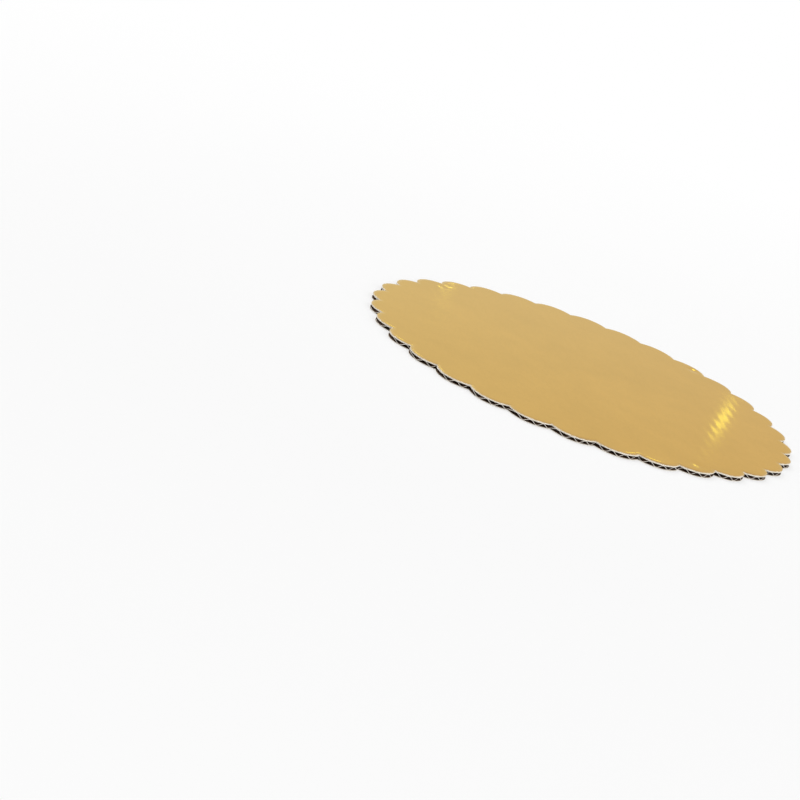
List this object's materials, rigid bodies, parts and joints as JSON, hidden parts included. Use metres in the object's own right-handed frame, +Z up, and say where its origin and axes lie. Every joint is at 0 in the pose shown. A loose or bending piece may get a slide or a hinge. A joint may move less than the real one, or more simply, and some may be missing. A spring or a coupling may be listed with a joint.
{
  "type": "cake board",
  "caption": "Round scalloped cake board of single-wall corrugated board with a gold foil face, cut edge showing its flutes.",
  "frame": {"origin": "centre of the board's underside", "axes": "+Z up out of the gold face, Y along the flutes, X across them through two notches"},
  "size_m": [0.2276, 0.2276, 0.0027],
  "materials": {
    "liner_paper": "matte",
    "medium_paper": "matte",
    "gold_foil": "gloss"
  },
  "bodies": {
    "root": {"bottom_liner": "liner_paper", "fluted_medium": "medium_paper", "top_liner": "liner_paper", "gold_foil": "gold_foil"}
  },
  "joints": []
}
